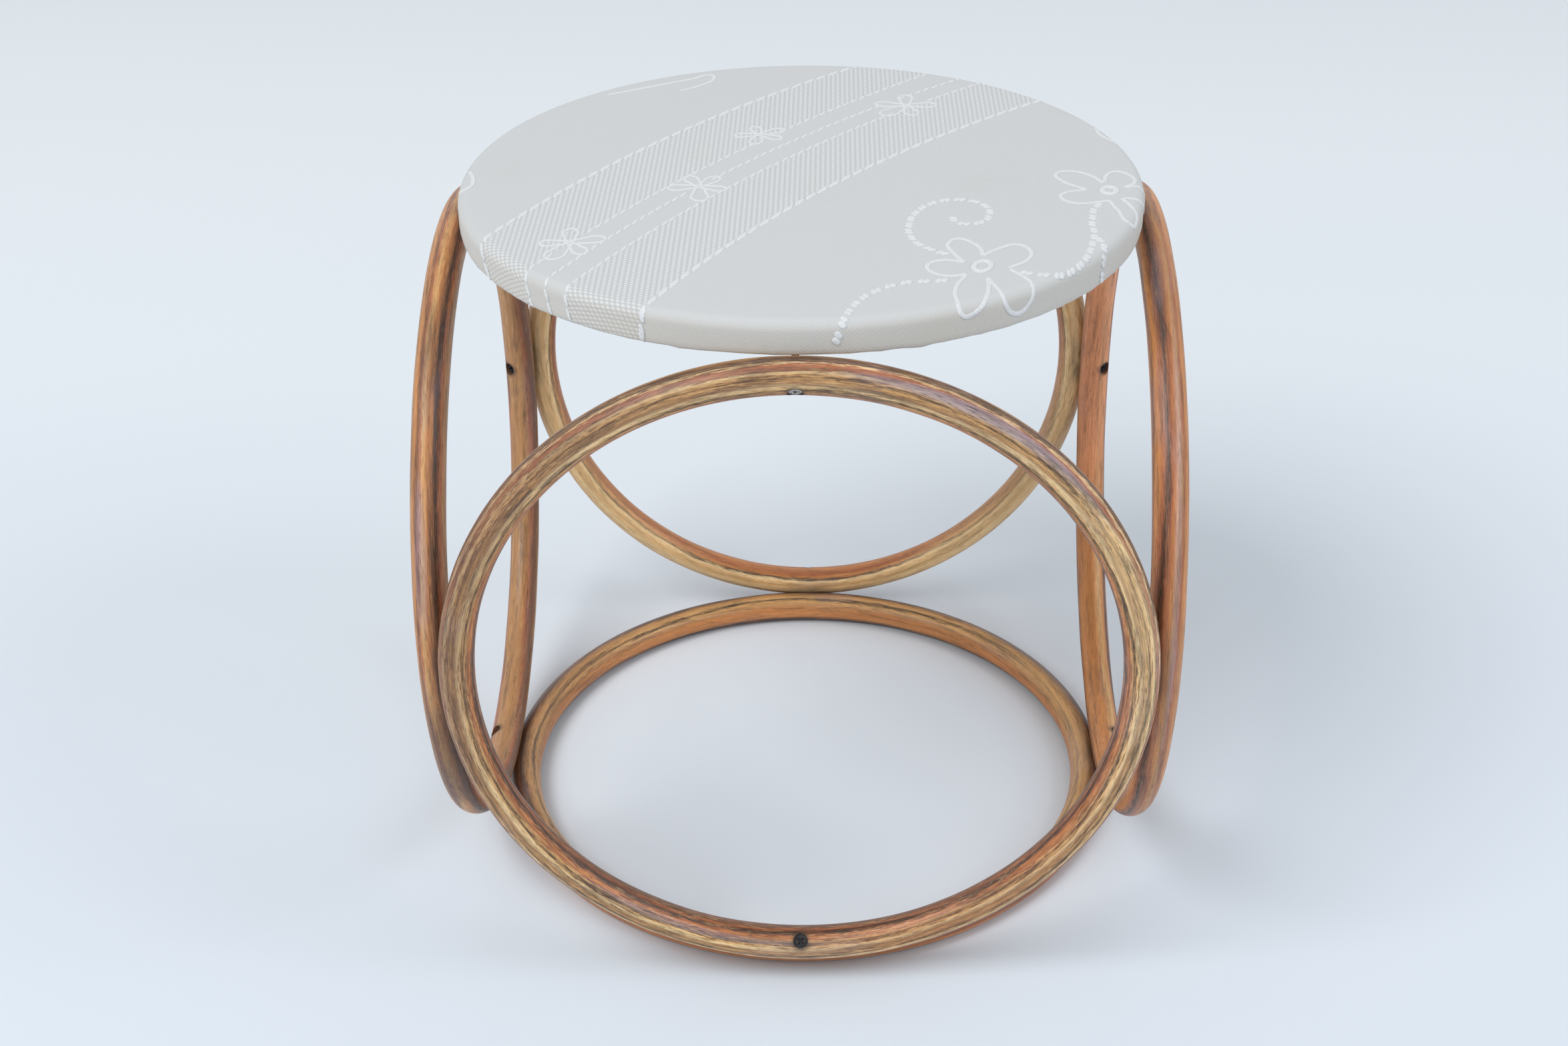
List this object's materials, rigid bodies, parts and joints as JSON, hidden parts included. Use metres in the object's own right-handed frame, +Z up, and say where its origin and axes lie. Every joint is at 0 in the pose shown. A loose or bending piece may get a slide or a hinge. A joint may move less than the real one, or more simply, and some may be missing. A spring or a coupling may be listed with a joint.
{
  "type": "stool",
  "caption": "Backless round stool: bent wooden rings screwed together as an open cube-like frame, carrying a flat cloth-covered seat.",
  "frame": {"origin": "on the floor under the middle of the seat", "axes": "+Z up, +X to the right and -Y to the front"},
  "size_m": [0.4224, 0.4224, 0.4279],
  "materials": {
    "bentwood": "satin varnish",
    "plywood": "raw",
    "foam": "matt",
    "cover_cloth": "woven",
    "staple_steel": "drawn wire",
    "bright_screw": "zinc plated",
    "dark_screw": "blackened"
  },
  "bodies": {
    "root": {"front_ring": "bentwood", "back_ring": "bentwood", "left_ring": "bentwood", "right_ring": "bentwood", "base_ring": "bentwood", "seat_board": "plywood", "seat_foam": "foam", "seat_cover": "cover_cloth", "cover_staples": "staple_steel", "front_seat_screw": "bright_screw", "back_seat_screw": "bright_screw", "left_seat_screw": "bright_screw", "right_seat_screw": "bright_screw", "front_base_screw": "dark_screw", "back_base_screw": "dark_screw", "left_base_screw": "dark_screw", "right_base_screw": "dark_screw", "front_left_corner_screw": "dark_screw", "back_left_corner_screw": "dark_screw", "front_right_corner_screw": "dark_screw", "back_right_corner_screw": "dark_screw"}
  },
  "joints": []
}
